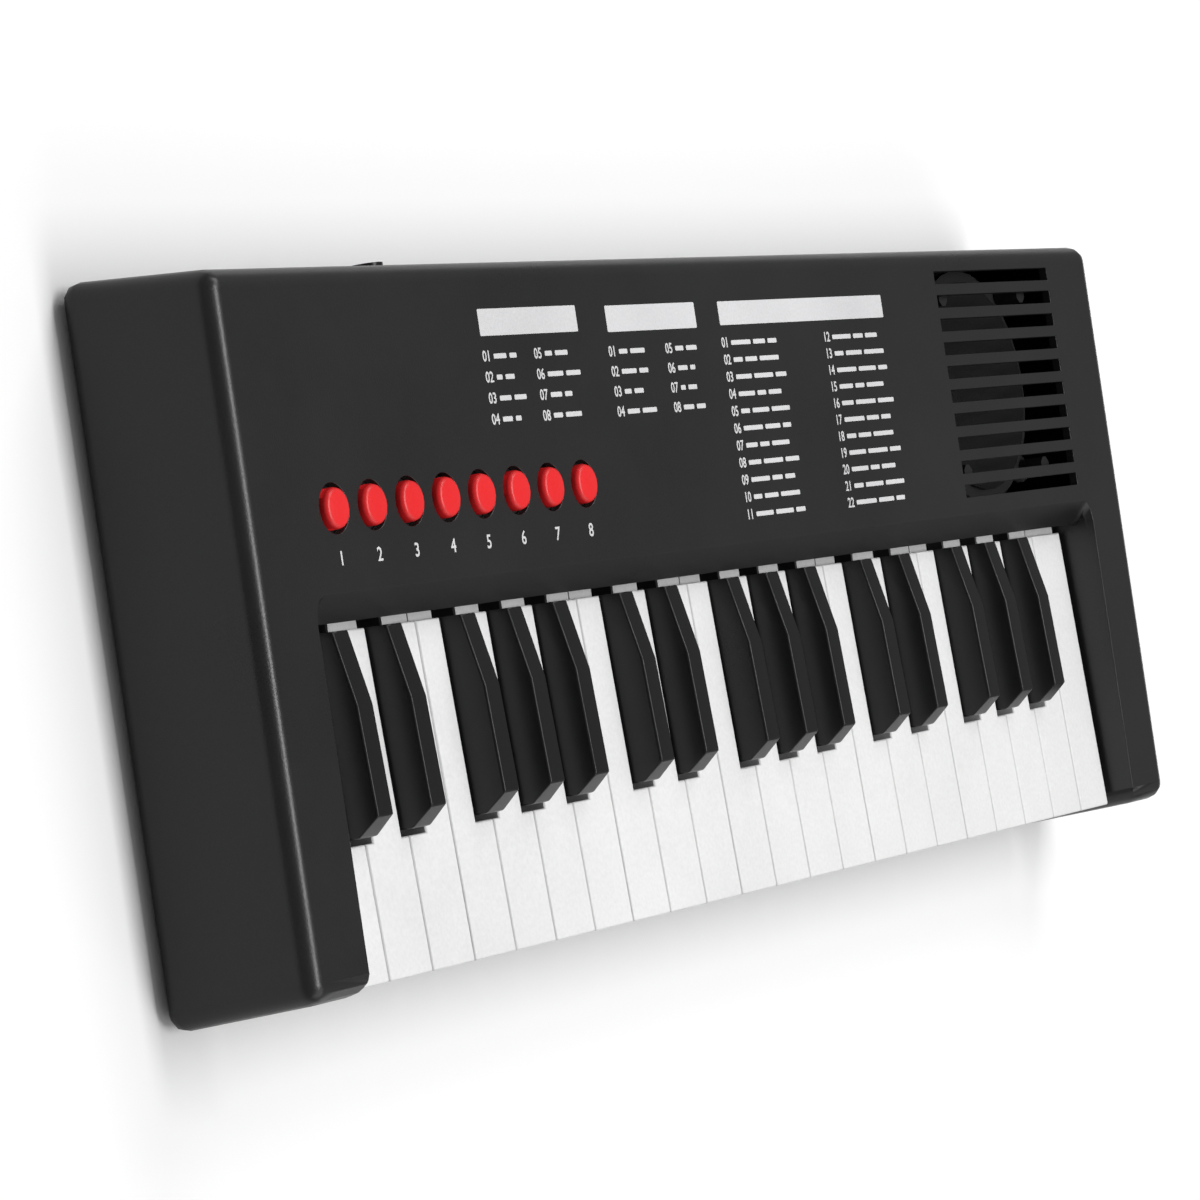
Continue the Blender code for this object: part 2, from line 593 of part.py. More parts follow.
def make_white_key(index, finish):
    """One white key: sloping top, front lip, hollow head, notches beside the black keys, tail."""
    octave, note = divmod(index, 7)
    name = "white_key_%s%d" % (NATURALS[note], octave + 1)
    left = BANK_LEFT + index * KEY_PITCH + KEY_GAP / 2
    right = left + KEY_PITCH - KEY_GAP
    skirt = white_top(WHITE_HEAD) - WHITE_SKIRT
    tail = tail_outline(KEY_BACK_Y - 8 * MM, white_top(WHITE_LENGTH))
    outline = [(KEY_FRONT_Y, white_top(0))] + tail
    outline += [(KEY_BACK_Y - 10 * MM, skirt), (KEY_FRONT_Y + 2 * WHITE_WALL, skirt),
                (KEY_FRONT_Y + WHITE_WALL, white_top(0) - WHITE_LIP), (KEY_FRONT_Y, white_top(0) - WHITE_LIP)]
    key = add_object(name, shape(prism, outline, (left, right)), finish,
                     pivot_empty(name, (left + right) / 2))
    cuts = []
    octave_left = BANK_LEFT + octave * 7 * KEY_PITCH
    notch_y = (KEY_FRONT_Y + WHITE_HEAD, KEY_BACK_Y + TAIL_LENGTH + MM)
    notch_z = (TAIL_TOP - TAIL_DEPTH - 8 * MM, TOP_Z)
    for after, centre in BLACK_CENTRES:
        middle = octave_left + centre * KEY_PITCH
        if after == note and index + 1 < WHITE_COUNT:
            cuts.append(shape(box, (middle - NOTCH_HALF, right + MM), notch_y, notch_z))
        if after == note - 1:
            cuts.append(shape(box, (left - MM, middle + NOTCH_HALF), notch_y, notch_z))
    hollow_x = (left + WHITE_WALL, right - WHITE_WALL)
    hollow_y = (KEY_FRONT_Y + WHITE_WALL, KEY_FRONT_Y + WHITE_HEAD - WHITE_WALL)
    cuts.append(shape(box, hollow_x, hollow_y, (skirt - 8 * MM, white_top(WHITE_HEAD) - WHITE_WALL)))
    combine(key, cuts, "DIFFERENCE")
    return key


def make_black_key(octave, after, centre, finish):
    """One black key: drafted sides, bent top, sloped front face and a tail like the white keys'."""
    name = "black_key_%s_sharp%d" % (NATURALS[after], octave + 1)
    middle = BANK_LEFT + (octave * 7 + centre) * KEY_PITCH
    front = KEY_FRONT_Y + BLACK_FRONT
    face_low = TOP_Z - BLACK_FRONT_SINK - BLACK_FACE
    foot = face_low - BLACK_FOOT
    top = ((front + BLACK_FRONT_LEAN, TOP_Z - BLACK_FRONT_SINK),
           (KEY_FRONT_Y + BLACK_BEND, TOP_Z - BLACK_BEND_SINK), (KEY_BACK_Y, TOP_Z - BLACK_BACK_SINK))
    waist_half = BLACK_TOP_HALF + (BLACK_BASE_HALF - BLACK_TOP_HALF) * 0.64
    rows = []
    bm = bmesh.new()
    for side in (-1, 1):
        upper = [bm.verts.new((middle + side * BLACK_TOP_HALF, y, z)) for y, z in top]
        nose = bm.verts.new((middle + side * waist_half, front, face_low))
        low = [bm.verts.new((middle + side * BLACK_BASE_HALF, y, foot))
               for y in (front, KEY_FRONT_Y + BLACK_BEND, KEY_BACK_Y)]
        rows.append((upper, nose, low))
    (lu, ln, ll), (ru, rn, rl) = rows
    quads = ((lu[0], ru[0], ru[1], lu[1]), (lu[1], ru[1], ru[2], lu[2]), (ln, rn, ru[0], lu[0]),
             (ll[0], rl[0], rn, ln), (ll[0], ll[1], rl[1], rl[0]), (ll[1], ll[2], rl[2], rl[1]),
             (lu[2], ru[2], rl[2], ll[2]))
    for quad in quads:
        bm.faces.new(quad)
    for upper, nose, low in rows:
        bm.faces.new((nose, upper[0], low[0]))
        bm.faces.new((upper[0], upper[1], low[1], low[0]))
        bm.faces.new((upper[1], upper[2], low[2], low[1]))
    key = add_object(name, bm, finish, pivot_empty(name, middle))
    tail = [(KEY_BACK_Y - MM, foot + MM), (KEY_BACK_Y - MM, TAIL_TOP)] + tail_outline(KEY_BACK_Y - MM, TAIL_TOP)[2:]
    tail_shape = shape(prism, tail, (middle - BLACK_BASE_HALF + 0.1 * MM, middle + BLACK_BASE_HALF - 0.1 * MM))
    combine(key, [tail_shape], "UNION")
    return key


def make_key_frame(finish):
    """The moulded frame: base sheet, pivot ridge along its back and stop rail along its front."""
    half = BANK_LENGTH / 2
    left = KEY_BANK_SHIFT - half
    right = KEY_BANK_SHIFT + half
    back = PIVOT_Y + PIVOT_RADIUS + 0.5 * MM
    sheet = (FRAME_TOP - FRAME_PLATE, FRAME_TOP)
    frame = add_object("key_frame", shape(box, (left, right), (KEY_FRONT_Y + FRAME_FRONT, back), sheet), finish)
    ridge = [(PIVOT_Y - PIVOT_RADIUS, FRAME_TOP - MM)]
    for i in range(7):
        a = math.pi * (1 - i / 6)
        ridge.append((PIVOT_Y + PIVOT_RADIUS * math.cos(a), PIVOT_Z + PIVOT_RADIUS * math.sin(a)))
    ridge.append((PIVOT_Y + PIVOT_RADIUS, FRAME_TOP - MM))
    stop_y = (KEY_FRONT_Y + STOP_FRONT, KEY_FRONT_Y + STOP_FRONT + STOP_DEPTH)
    parts = [shape(prism, ridge, (left + 0.1 * MM, right - 0.1 * MM)),
             shape(box, (left + 0.1 * MM, right - 0.1 * MM), stop_y, (FRAME_TOP - MM, FRAME_TOP + STOP_RAIL))]
    combine(frame, parts, "UNION")
    return frame


def make_stop_felt(finish):
    """The felt strip on the stop rail."""
    half = BANK_LENGTH / 2 - MM
    low = FRAME_TOP + STOP_RAIL + FIT
    y = (KEY_FRONT_Y + STOP_FRONT + 0.4 * MM, KEY_FRONT_Y + STOP_FRONT + STOP_DEPTH - 0.4 * MM)
    x = (KEY_BANK_SHIFT - half, KEY_BANK_SHIFT + half)
    return add_object("key_stop_felt", shape(box, x, y, (low, low + STOP_FELT)), finish)


def make_key_board(finish):
    """The long contact board that lies on the key frame."""
    half = BANK_LENGTH / 2 - 2 * MM
    low = FRAME_TOP + FIT
    y = (KEY_FRONT_Y + KEY_BOARD_FRONT, KEY_FRONT_Y + KEY_BOARD_FRONT + KEY_BOARD_DEPTH)
    x = (KEY_BANK_SHIFT - half, KEY_BANK_SHIFT + half)
    return add_object("key_contact_board", shape(box, x, y, (low, low + BOARD)), finish)


def make_dome_strip(finish):
    """The silicone strip with a dome under every key."""
    half = BANK_LENGTH / 2 - 2.5 * MM
    low = FRAME_TOP + 2 * FIT + BOARD
    white_y = KEY_FRONT_Y + KEY_BOARD_FRONT + 7 * MM
    black_y = KEY_FRONT_Y + KEY_BOARD_FRONT + 17 * MM
    y = (white_y - 5.5 * MM, black_y + 5.5 * MM)
    x = (KEY_BANK_SHIFT - half, KEY_BANK_SHIFT + half)
    strip = add_object("key_dome_strip", shape(box, x, y, (low, low + DOME_BASE)), finish)
    domes = bmesh.new()
    places = [(BANK_LEFT + (i + 0.5) * KEY_PITCH, white_y) for i in range(WHITE_COUNT)]
    for octave in range(WHITE_COUNT // 7):
        places += [(BANK_LEFT + (octave * 7 + centre) * KEY_PITCH, black_y) for _, centre in BLACK_CENTRES]
    for px, py in places:
        profile = ((0, 0.2 * MM), (DOME_RADIUS, 0.2 * MM), (DOME_RADIUS * 0.6, DOME_BASE + DOME_RISE),
                   (0, DOME_BASE + DOME_RISE))
        turned(domes, profile, (px, py, low), 6)
    combine(strip, [domes], "UNION")
    return strip


def make_button(index, finish):
    """One push button: domed cap, retaining flange and stem."""
    name = BUTTON_NAMES[index] + "_button"
    x = -TOP_HALF_X + BUTTON_INSET + index * BUTTON_PITCH
    flange_top = TOP_Z - WALL - FIT
    flange_low = flange_top - BUTTON_FLANGE
    edge = 1.0 * MM
    cap = TOP_Z + BUTTON_RISE
    profile = ((0, flange_low - BUTTON_STEM), (BUTTON_STEM_RADIUS, flange_low - BUTTON_STEM),
               (BUTTON_STEM_RADIUS, flange_low), (BUTTON_FLANGE_RADIUS, flange_low),
               (BUTTON_FLANGE_RADIUS, flange_top), (BUTTON_RADIUS, flange_top),
               (BUTTON_RADIUS, cap - 1.3 * edge), (BUTTON_RADIUS - 0.3 * edge, cap - 0.55 * edge),
               (BUTTON_RADIUS - edge, cap - 0.2 * edge), (0, cap))
    slide = bpy.data.objects.new(name + "_axis", None)
    slide.location = (x, BUTTON_Y, TOP_Z)
    bpy.context.collection.objects.link(slide)
    bpy.context.view_layer.update()
    button = add_object(name, shape(turned, profile, (x, BUTTON_Y, 0), 18), finish, slide)
    smooth(button, 40.0)
    return button


def make_button_pad(finish):
    """The silicone pad with a dome under every button."""
    board_x, _, _ = control_board_box()
    low = pad_bottom()
    y = (BUTTON_Y - 6 * MM, BUTTON_Y + 6 * MM)
    pad = add_object("button_pad", shape(box, (board_x[0] + 2 * MM, board_x[1] - 8 * MM), y, (low, low + PAD_BASE)),
                     finish)
    domes = bmesh.new()
    for i in range(len(BUTTON_NAMES)):
        x = -TOP_HALF_X + BUTTON_INSET + i * BUTTON_PITCH
        profile = ((0, 0.2 * MM), (3.4 * MM, 0.2 * MM), (2.2 * MM, PAD_BASE + PAD_RISE), (0, PAD_BASE + PAD_RISE))
        turned(domes, profile, (x, BUTTON_Y, low), 10)
    combine(pad, [domes], "UNION")
    return pad


def make_control_board(finish):
    """The board under the buttons, with the covered sound chip on its underside."""
    x, y, z = control_board_box()
    board = add_object("control_board", shape(box, x, y, z), finish)
    chip = shape(turned, ((0, -1.4 * MM), (5 * MM, -1.0 * MM), (6 * MM, 0.3 * MM), (0, 0.3 * MM)),
                 ((x[0] + x[1]) / 2, y[1] - 7 * MM, z[0]), 12)
    combine(board, [chip], "UNION")
    return board


def make_speaker(frame_finish, cone_finish, magnet_finish):
    """A round speaker that hangs under the grille: basket, cone and magnet."""
    face = TOP_Z - SPEAKER_SINK
    centre = (SPEAKER_X, SPEAKER_Y, face)
    basket = add_object("speaker_frame", shape(turned, (
        (SPEAKER_RADIUS, 0), (SPEAKER_RADIUS, -SPEAKER_RIM), (CONE_RADIUS, -SPEAKER_RIM),
        (MAGNET_RADIUS, -SPEAKER_DEPTH), (MAGNET_RADIUS - 3 * MM, -SPEAKER_DEPTH),
        (MAGNET_RADIUS - 3 * MM, -SPEAKER_DEPTH + 1.2 * MM), (CONE_RADIUS - 1.2 * MM, -1.2 * MM),
        (CONE_RADIUS + MM, 0)), centre, 32), frame_finish)
    ears = [shape(rod, (x, y, face), EAR_REACH, -SPEAKER_RIM + 0.2 * MM, -0.2 * MM, 10) for x, y in speaker_ears()]
    combine(basket, ears, "UNION")
    smooth(basket)
    wall = 0.8 * MM
    cone = add_object("speaker_cone", shape(turned, (
        (CONE_RADIUS + 0.5 * MM, FIT), (CONE_RADIUS + 2.2 * MM, FIT), (CONE_RADIUS + 2.2 * MM, FIT + wall),
        (CONE_RADIUS - 0.6 * MM, FIT + wall), (9 * MM, -SPEAKER_DEPTH + 3.6 * MM), (4 * MM, -SPEAKER_DEPTH + 5.0 * MM),
        (0, -SPEAKER_DEPTH + 5.4 * MM), (0, -SPEAKER_DEPTH + 4.4 * MM), (4 * MM, -SPEAKER_DEPTH + 4.0 * MM),
        (9 * MM, -SPEAKER_DEPTH + 2.4 * MM)), centre, 32), cone_finish)
    smooth(cone)
    magnet = add_object("speaker_magnet", shape(turned, (
        (0, -SPEAKER_DEPTH - FIT), (MAGNET_RADIUS, -SPEAKER_DEPTH - FIT),
        (MAGNET_RADIUS, -SPEAKER_DEPTH - MAGNET_DEPTH), (0, -SPEAKER_DEPTH - MAGNET_DEPTH)), centre, 24), magnet_finish)
    smooth(magnet)
    return basket, cone, magnet


def make_contacts(finish):
    """The two sheet contacts at the ends of the battery bay, with bent pads for the cells."""
    made = []
    for name, side in (("battery_spring_plate", -1), ("battery_tab_plate", 1)):
        wall = BAY_X + side * (BAY_LENGTH / 2 - FIT)
        inner = wall - side * CONTACT_SHEET
        low = FOOT_HEIGHT + DOOR_PLATE + 1.5 * MM
        sheet = shape(box, sorted((wall, inner)), (BAY_FRONT + MM, BAY_BACK - 2.4 * MM), (low, low + 12 * MM))
        plate = add_object(name, sheet, finish)
        pads = bmesh.new()
        for i in range(3):
            y = BAY_FRONT + (i + 0.5) * BAY_WIDTH / 3
            reach = inner - side * (2.4 if side < 0 else 1.0) * MM
            box(pads, sorted((inner + side * 0.1 * MM, reach)), (y - 3 * MM, y + 3 * MM), (low + 4 * MM, low + 8 * MM))
        combine(plate, [pads], "UNION")
        made.append(plate)
    return made


def make_power_jack(finish):
    """The round power socket in the rear wall: a collared barrel with its bore open to the back."""
    wall_y = TOP_HALF_Y + LEAN_Y * JACK_SINK / CASE_HEIGHT
    out = wall_y + JACK_STICKS_OUT
    deep = out - JACK_LENGTH
    inside = TOP_HALF_Y - WALL - 0.8 * MM
    centre = (jack_x(), 0, TOP_Z - JACK_SINK)
    jack = add_object("power_jack", shape(turned, (
        (0, deep), (JACK_RADIUS + 1.4 * MM, deep), (JACK_RADIUS + 1.4 * MM, inside), (JACK_RADIUS, inside),
        (JACK_RADIUS, out), (JACK_BORE_RADIUS, out), (JACK_BORE_RADIUS, deep + 2.5 * MM),
        (0.9 * MM, deep + 2.5 * MM), (0.9 * MM, out - 1.5 * MM), (0, out - 1.5 * MM)), centre, 20, axis="Y"), finish)
    smooth(jack)
    return jack


def build():
    """Make every piece of the keyboard."""
    for old in list(bpy.data.objects):
        bpy.data.objects.remove(old)
    black = material("black_plastic", (0.030, 0.030, 0.031), 0.48)
    key_black = material("key_black", (0.020, 0.020, 0.021), 0.40)
    key_white = material("key_white", (0.86, 0.86, 0.86), 0.50)
    red = material("button_red", (0.85, 0.025, 0.03), 0.30)
    grey = material("frame_grey", (0.25, 0.25, 0.26), 0.55)
    silicone = material("silicone", (0.55, 0.55, 0.53), 0.60)
    board = material("board_green", (0.05, 0.22, 0.09), 0.45)
    felt = material("felt_red", (0.35, 0.03, 0.03), 0.95)
    basket = material("speaker_steel", (0.10, 0.10, 0.105), 0.45, 0.6)
    paper = material("cone_paper", (0.035, 0.035, 0.035), 0.85)
    ferrite = material("magnet_ferrite", (0.08, 0.08, 0.085), 0.50, 0.3)
    sheet = material("contact_sheet", (0.70, 0.70, 0.68), 0.30, 1.0)
    make_upper_case(black)
    make_lower_case(black)
    make_battery_door(black)
    for index in range(WHITE_COUNT):
        make_white_key(index, key_white)
    for octave in range(WHITE_COUNT // 7):
        for after, centre in BLACK_CENTRES:
            make_black_key(octave, after, centre, key_black)
    make_key_frame(grey)
    make_stop_felt(felt)
    make_key_board(board)
    make_dome_strip(silicone)
    for index in range(len(BUTTON_NAMES)):
        make_button(index, red)
    make_button_pad(silicone)
    make_control_board(board)
    make_speaker(basket, paper, ferrite)
    make_contacts(sheet)
    make_power_jack(key_black)


build()
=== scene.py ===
import json
import math

import bmesh
import bpy
from mathutils import Matrix, Vector

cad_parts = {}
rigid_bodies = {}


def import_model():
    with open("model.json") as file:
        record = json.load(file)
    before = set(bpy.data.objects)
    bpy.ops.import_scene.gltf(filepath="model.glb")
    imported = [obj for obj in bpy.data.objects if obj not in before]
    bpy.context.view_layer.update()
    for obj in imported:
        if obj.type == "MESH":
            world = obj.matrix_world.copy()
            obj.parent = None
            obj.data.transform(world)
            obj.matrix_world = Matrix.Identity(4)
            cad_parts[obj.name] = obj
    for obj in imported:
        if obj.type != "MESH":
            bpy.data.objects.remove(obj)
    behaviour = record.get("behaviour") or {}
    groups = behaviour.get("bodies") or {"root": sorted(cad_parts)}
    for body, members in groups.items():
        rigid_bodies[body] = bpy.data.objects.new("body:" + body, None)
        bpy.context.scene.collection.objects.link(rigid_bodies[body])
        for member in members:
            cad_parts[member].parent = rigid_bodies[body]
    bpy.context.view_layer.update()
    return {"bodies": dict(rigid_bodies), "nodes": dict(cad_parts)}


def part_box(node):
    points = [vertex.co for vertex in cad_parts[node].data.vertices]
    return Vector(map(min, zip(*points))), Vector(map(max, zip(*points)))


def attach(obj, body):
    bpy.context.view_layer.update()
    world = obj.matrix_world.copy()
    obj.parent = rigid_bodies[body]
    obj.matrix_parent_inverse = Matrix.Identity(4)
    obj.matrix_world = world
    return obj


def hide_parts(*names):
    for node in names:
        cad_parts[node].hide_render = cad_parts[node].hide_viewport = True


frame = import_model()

scene = bpy.context.scene
case_low, case_high = (Vector(corner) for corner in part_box("upper_case"))
panel_z = case_high.z

# The camera looks down along the keyboard from beyond its left end, with the keys running down the
# picture. Its place was worked out from the edges of the keys and of the casing.
camera_data = bpy.data.cameras.new("camera")
camera_data.lens = 154.5
camera_data.sensor_width = 36.0
camera_data.clip_start = 0.05
camera = bpy.data.objects.new("camera", camera_data)
camera.matrix_world = Matrix((
    (0.5045, 0.0697, -0.8606, -1.0549),
    (-0.1465, 0.9892, -0.0057, -0.0084),
    (0.8509, 0.1289, 0.5093, 0.6186),
    (0.0, 0.0, 0.0, 1.0)))
scene.collection.objects.link(camera)
scene.camera = camera

# A plain white table top that catches the shadow, and a pale even room round it.
# They aren't part of the keyboard.
bpy.ops.object.select_all(action="DESELECT")
bpy.ops.mesh.primitive_plane_add(size=12.0, location=(0.0, 0.0, -0.0002))
floor = bpy.context.object
floor.name = "table_top"
floor_look = bpy.data.materials.new("table_white")
floor_look.use_nodes = True
floor_shader = floor_look.node_tree.nodes["Principled BSDF"]
floor_nodes, floor_links = floor_look.node_tree.nodes, floor_look.node_tree.links
floor_seen = floor_nodes.new("ShaderNodeMix")
floor_seen.data_type = "RGBA"
floor_seen.inputs["A"].default_value = (0.62, 0.62, 0.62, 1.0)
floor_seen.inputs["B"].default_value = (1.0, 1.0, 1.0, 1.0)
floor_path = floor_nodes.new("ShaderNodeLightPath")
floor_links.new(floor_path.outputs["Is Camera Ray"], floor_seen.inputs["Factor"])
floor_links.new(floor_seen.outputs["Result"], floor_shader.inputs["Base Color"])
floor_shader.inputs["Roughness"].default_value = 0.9
floor_shader.inputs["Specular IOR Level"].default_value = 0.1
floor.data.materials.append(floor_look)

room = bpy.data.worlds.new("room")
scene.world = room
room.use_nodes = True
room_nodes = room.node_tree.nodes
room_links = room.node_tree.links
room_light = room_nodes["Background"]
room_light.inputs["Color"].default_value = (1.0, 1.0, 1.0, 1.0)
room_light.inputs["Strength"].default_value = 0.20
room_seen = room_nodes.new("ShaderNodeBackground")
room_seen.inputs["Color"].default_value = (1.0, 1.0, 1.0, 1.0)
room_seen.inputs["Strength"].default_value = 1.0
room_path = room_nodes.new("ShaderNodeLightPath")
room_mix = room_nodes.new("ShaderNodeMixShader")
room_links.new(room_path.outputs["Is Camera Ray"], room_mix.inputs["Fac"])
room_links.new(room_light.outputs["Background"], room_mix.inputs[1])
room_links.new(room_seen.outputs["Background"], room_mix.inputs[2])
room_links.new(room_mix.outputs["Shader"], room_nodes["World Output"].inputs["Surface"])

# Soft lamps: a long narrow one over the keyboard, which draws the bright line along the rounded left
# edge, a wide one behind and to the right, and a weak one in front.
for lamp_name, place, aim, width, depth, power in (
        ("lamp_over", (-0.05, 0.05, 1.5), (-0.05, 0.05, 0.0), 0.30, 1.6, 17.0),
        ("lamp_behind", (0.5, 1.4, 1.3), (0.0, 0.0, 0.02), 0.9, 0.9, 9.0),
        ("lamp_front", (0.3, -1.5, 1.2), (0.0, 0.0, 0.02), 1.8, 1.4, 8.0)):
    lamp_data = bpy.data.lights.new(lamp_name, "AREA")
    lamp_data.shape = "RECTANGLE"
    lamp_data.size = width
    lamp_data.size_y = depth
    lamp_data.energy = power
    lamp = bpy.data.objects.new(lamp_name, lamp_data)
    lamp.location = place
    lamp.rotation_euler = (Vector(aim) - Vector(place)).to_track_quat("-Z", "Y").to_euler()
    scene.collection.objects.link(lamp)
scene.view_settings.view_transform = "Standard"

# The upper case is one black injection moulding with a fine spark-eroded grain. Its outer edges are
# rounded in the CAD model; here its mesh is merged, its small corners softened and shaded smooth.


def grain_group():
    """A node group for moulded plastic: fine grain, slow change of shade, and faint rubbed patches."""
    group = bpy.data.node_groups.new("moulded_grain", "ShaderNodeTree")
    for label, value in (("Grain Scale", 2500.0), ("Grain Depth", 0.25), ("Rough Low", 0.4), ("Rough High", 0.5)):
        socket = group.interface.new_socket(label, in_out="INPUT", socket_type="NodeSocketFloat")
        socket.default_value = value
    group.interface.new_socket("Shade", in_out="OUTPUT", socket_type="NodeSocketFloat")
    group.interface.new_socket("Roughness", in_out="OUTPUT", socket_type="NodeSocketFloat")
    group.interface.new_socket("Normal", in_out="OUTPUT", socket_type="NodeSocketVector")
    nodes, links = group.nodes, group.links
    given = nodes.new("NodeGroupInput")
    result = nodes.new("NodeGroupOutput")
    place = nodes.new("ShaderNodeTexCoord")
    fine = nodes.new("ShaderNodeTexNoise")
    fine.inputs["Detail"].default_value = 3.0
    links.new(place.outputs["Object"], fine.inputs["Vector"])
    links.new(given.outputs["Grain Scale"], fine.inputs["Scale"])
    slow = nodes.new("ShaderNodeTexNoise")
    slow.inputs["Scale"].default_value = 22.0
    slow.inputs["Detail"].default_value = 5.0
    slow.inputs["Roughness"].default_value = 0.62
    links.new(place.outputs["Object"], slow.inputs["Vector"])
    both = nodes.new("ShaderNodeMix")
    both.data_type = "FLOAT"
    both.inputs["Factor"].default_value = 0.45
    links.new(slow.outputs["Fac"], both.inputs["A"])
    links.new(fine.outputs["Fac"], both.inputs["B"])
    links.new(both.outputs["Result"], result.inputs["Shade"])
    spread = nodes.new("ShaderNodeMapRange")
    spread.inputs["From Min"].default_value = 0.3
    spread.inputs["From Max"].default_value = 0.7
    links.new(both.outputs["Result"], spread.inputs["Value"])
    links.new(given.outputs["Rough Low"], spread.inputs["To Min"])
    links.new(given.outputs["Rough High"], spread.inputs["To Max"])
    links.new(spread.outputs["Result"], result.inputs["Roughness"])
    bump = nodes.new("ShaderNodeBump")
    bump.inputs["Distance"].default_value = 0.00006
    links.new(given.outputs["Grain Depth"], bump.inputs["Strength"])
    links.new(fine.outputs["Fac"], bump.inputs["Height"])
    links.new(bump.outputs["Normal"], result.inputs["Normal"])
    return group


moulded_grain = grain_group()


def moulded_look(name, dark, light, roughness, grain=2500.0, depth=0.25, metallic=0.0):
    """A moulded finish whose colour wanders between two close shades, with its own grain."""
    look = bpy.data.materials.new(name)
    look.use_nodes = True
    nodes, links = look.node_tree.nodes, look.node_tree.links
    shader = nodes["Principled BSDF"]
    shader.inputs["Metallic"].default_value = metallic
    skin = nodes.new("ShaderNodeGroup")
    skin.node_tree = moulded_grain
    skin.inputs["Grain Scale"].default_value = grain
    skin.inputs["Grain Depth"].default_value = depth
    skin.inputs["Rough Low"].default_value = roughness[0]
    skin.inputs["Rough High"].default_value = roughness[1]
    ramp = nodes.new("ShaderNodeValToRGB")
    ramp.color_ramp.elements[0].position = 0.35
    ramp.color_ramp.elements[0].color = (*dark, 1.0)
    ramp.color_ramp.elements[1].position = 0.65
    ramp.color_ramp.elements[1].color = (*light, 1.0)
    links.new(skin.outputs["Shade"], ramp.inputs["Fac"])
    links.new(ramp.outputs["Color"], shader.inputs["Base Color"])
    links.new(skin.outputs["Roughness"], shader.inputs["Roughness"])
    links.new(skin.outputs["Normal"], shader.inputs["Normal"])
    return look


def finished(node, body, look, edge=0.0, rows=3, softened=None):
    """A merged copy of a CAD node, which stands for that node, with the chosen sharp edges rounded.

    softened says of an edge's two ends whether it is rounded; edge is the radius."""
    bpy.ops.object.select_all(action="DESELECT")
    piece = bpy.data.objects.new(node + "_finished", frame["nodes"][node].data.copy())
    scene.collection.objects.link(piece)
    piece.select_set(True)
    bpy.context.view_layer.objects.active = piece
    bpy.ops.object.mode_set(mode="EDIT")
    bpy.ops.mesh.select_all(action="SELECT")
    bpy.ops.mesh.remove_doubles(threshold=0.000001)
    bpy.ops.mesh.dissolve_limited(angle_limit=math.radians(1.0))
    if edge:
        bpy.ops.mesh.select_mode(type="EDGE")
        bpy.ops.mesh.select_all(action="DESELECT")
        bpy.ops.mesh.edges_select_sharp(sharpness=math.radians(32.0))
        shape = bmesh.from_edit_mesh(piece.data)
        for line in shape.edges:
            if line.select and not softened(line.verts[0].co, line.verts[1].co):
                line.select_set(False)
        shape.select_flush_mode()
        bmesh.update_edit_mesh(piece.data)
        bpy.ops.mesh.bevel(offset=edge, segments=rows, clamp_overlap=True)
    bpy.ops.object.mode_set(mode="OBJECT")
    bpy.ops.object.shade_smooth_by_angle(angle=math.radians(38.0))
    flat = piece.modifiers.new("flat_faces", "WEIGHTED_NORMAL")
    flat.keep_sharp = True
    flat.weight = 100
    bpy.ops.object.modifier_apply(modifier=flat.name)
    piece.data.materials.clear()
    piece.data.materials.append(look)
    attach(piece, body)
    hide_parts(node)
    return piece


case_black = moulded_look("case_black", (0.010, 0.010, 0.0105), (0.015, 0.015, 0.0155), (0.26, 0.36), 2400.0, 0.5)
finished("upper_case", "case", case_black, edge=0.00025, rows=2,
         softened=lambda a, b: min(a.z, b.z) > panel_z - 0.0001)

# The base plate and the battery door are black mouldings like the case, a little coarser, because
# nobody looks at them.
base_black = moulded_look("base_black", (0.022, 0.022, 0.023), (0.031, 0.031, 0.032), (0.50, 0.62), 1800.0, 0.4)
finished("lower_case", "case", base_black)
finished("battery_door", "battery_door", base_black)

# The white keys are off-white styrene mouldings with a soft sheen and softened edges. All have the
# same finish; each keeps its own notches beside the black keys.
key_white = moulded_look("key_white", (0.78, 0.78, 0.78), (0.87, 0.87, 0.87), (0.34, 0.48), 1000.0, 0.7)
key_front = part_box("white_key_c1")[0][1]
for body in sorted(frame["bodies"]):
    if body.startswith("white_key"):
        finished(body, body, key_white, edge=0.0005,
                 softened=lambda a, b: min(a.z, b.z) > panel_z - 0.0097 or max(a.y, b.y) < key_front + 0.0001)

# The black keys are satin black mouldings, drafted on every side, with a sloped front face.
# Their top edges are the roundest on the instrument.
key_black = moulded_look("key_black", (0.006, 0.006, 0.0065), (0.009, 0.009, 0.0095), (0.26, 0.34), 2400.0, 0.08)
key_black.node_tree.nodes["Principled BSDF"].inputs["Specular IOR Level"].default_value = 0.38
for body in sorted(frame["bodies"]):
    if body.startswith("black_key"):
        finished(body, body, key_black, edge=0.0005,
                 softened=lambda a, b: min(a.z, b.z) > panel_z - 0.0075 or max(a.y, b.y) < key_front + 0.035)

